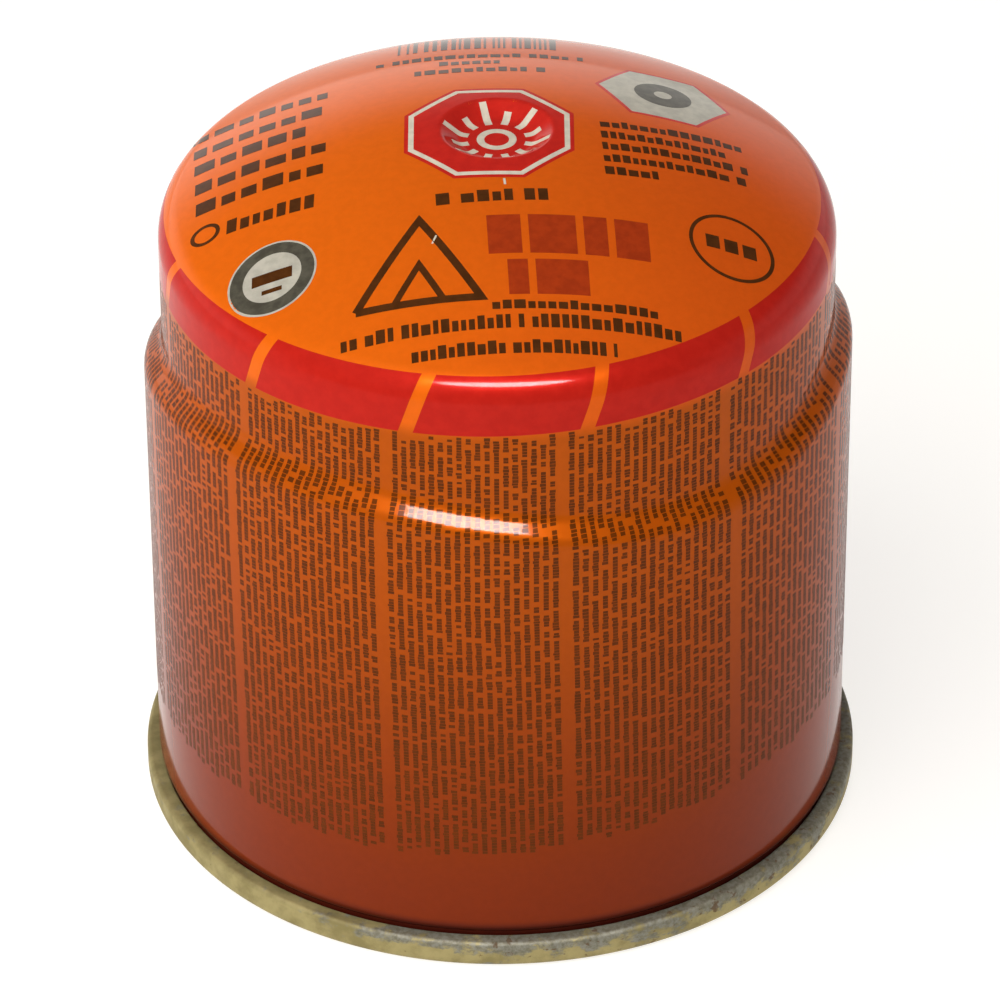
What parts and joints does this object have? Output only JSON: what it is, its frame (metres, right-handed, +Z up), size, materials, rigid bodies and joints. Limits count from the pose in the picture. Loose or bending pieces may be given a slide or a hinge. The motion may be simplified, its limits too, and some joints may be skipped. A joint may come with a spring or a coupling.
{
  "type": "fuel canister",
  "caption": "Sealed round gas canister: domed crown with a dished seat for a piercing spike, narrower neck, waving step, straight wall and a seamed steel rim to stand on.",
  "frame": {"origin": "centre of the rim's underside, on the surface the canister stands on", "axes": "+Z up along the canister's axis, towards the crown; -Y towards the front of the picture; +X to its right"},
  "size_m": [0.09, 0.09, 0.0927],
  "materials": {
    "lacquered_steel": "gloss",
    "tinned_steel": "worn satin"
  },
  "bodies": {
    "root": {"drawn_body": "lacquered_steel", "bottom_end": "tinned_steel"}
  },
  "joints": []
}
